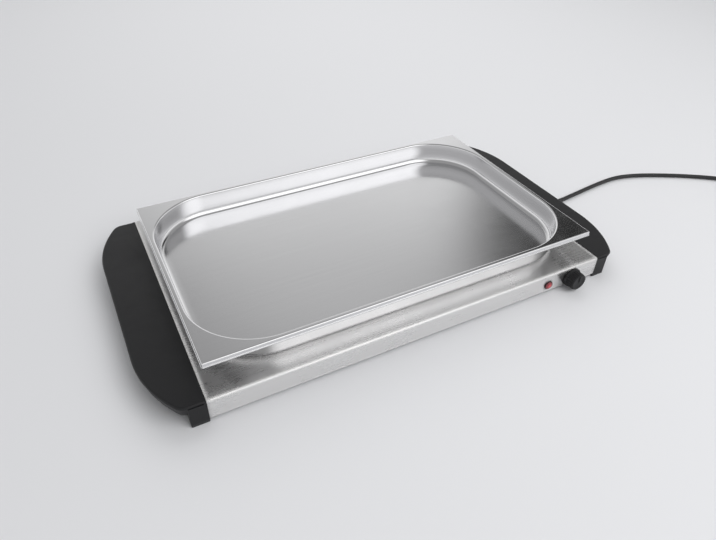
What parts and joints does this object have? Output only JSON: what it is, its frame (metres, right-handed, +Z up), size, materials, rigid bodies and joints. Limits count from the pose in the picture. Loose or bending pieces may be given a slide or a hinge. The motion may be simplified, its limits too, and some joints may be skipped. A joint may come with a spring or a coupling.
{
  "type": "electric food warmer tray",
  "caption": "Low electric food warmer: flat steel warming tray with black end handles, a full-size rectangular food pan on top, a rotary heat control, a pilot lamp and a mains cord.",
  "frame": {"origin": "middle of the footprint without the free cord (caps, panels and the knob's reach), on the surface the feet stand on", "axes": "+X along the tray to the end with the cord and the heat control; the front panel faces -Y; +Z up"},
  "size_m": [1.2185, 0.38, 0.065],
  "materials": {
    "stainless_shell": "fine brushed grain along the tray, satin",
    "stainless_pan": "drawn stainless sheet, semi-bright",
    "plated_steel": "dull zinc-plated sheet",
    "zinc_fasteners": "zinc-plated",
    "element_steel": "heat-darkened steel tube",
    "sheet_aluminium": "mill finish",
    "black_plastic": "moulded, fine matt grain",
    "black_rubber": "matt",
    "cord_rubber": "smooth flexible cord sheath",
    "insulation": "mineral wool mat",
    "brown_plastic": "heat-resistant moulding",
    "red_lens": "clear red moulding",
    "bulb_glass": "clear, orange glow inside",
    "cream_plastic": "moulded",
    "brass_contacts": "plain",
    "core_sleeves": "coloured insulation",
    "live_sleeve": "coloured insulation",
    "neutral_sleeve": "coloured insulation",
    "earth_sleeve": "coloured insulation"
  },
  "bodies": {
    "tray": {"deck_panel": "stainless_shell", "base_plate": "plated_steel", "left_end_cap": "black_plastic", "right_end_cap": "black_plastic", "front_left_foot_pad": "black_rubber", "rear_left_foot_pad": "black_rubber", "front_right_foot_pad": "black_rubber", "rear_right_foot_pad": "black_rubber", "heat_spreader": "sheet_aluminium", "heating_element": "element_steel", "element_pins": "element_steel", "clamp_bars": "plated_steel", "weld_studs": "zinc_fasteners", "clamp_nuts": "zinc_fasteners", "insulation_pad": "insulation", "reflector_sheet": "sheet_aluminium", "thermal_cutout": "sheet_aluminium", "thermostat_body": "brown_plastic", "thermostat_tabs": "brass_contacts", "thermostat_nut": "zinc_fasteners", "pilot_housing": "black_plastic", "pilot_lens": "red_lens", "pilot_bulb": "bulb_glass", "pilot_clip": "zinc_fasteners", "terminal_block": "cream_plastic", "terminal_screws": "brass_contacts", "earth_terminal": "zinc_fasteners", "supply_cores": "core_sleeves", "live_wire": "live_sleeve", "switched_wire": "live_sleeve", "cutout_wire": "live_sleeve", "neutral_wire": "neutral_sleeve", "earth_wire": "earth_sleeve", "lamp_wires": "core_sleeves", "base_plate_screws": "zinc_fasteners", "end_cap_screws": "zinc_fasteners", "strain_relief": "black_rubber", "cord_lead": "cord_rubber", "cord_tail": "cord_rubber", "cord_coil": "cord_rubber", "cord_tie": "black_plastic", "plug_body": "black_plastic", "plug_blades": "brass_contacts", "plug_earth_pin": "brass_contacts"},
    "knob": {"control_knob": "black_plastic", "thermostat_shaft": "zinc_fasteners"},
    "pan": {"food_pan": "stainless_pan"}
  },
  "joints": [
    {"name": "heat_control_turn", "type": "hinge", "parent": "tray", "child": "knob", "pos_m": [0.2265, -0.174, 0.01625], "axis": [0, 1, 0], "range_deg": [-135, 135]},
    {"name": "pan_lift", "type": "slide", "parent": "tray", "child": "pan", "axis": [0, 0, 1], "range_m": [0, 0.1]}
  ]
}
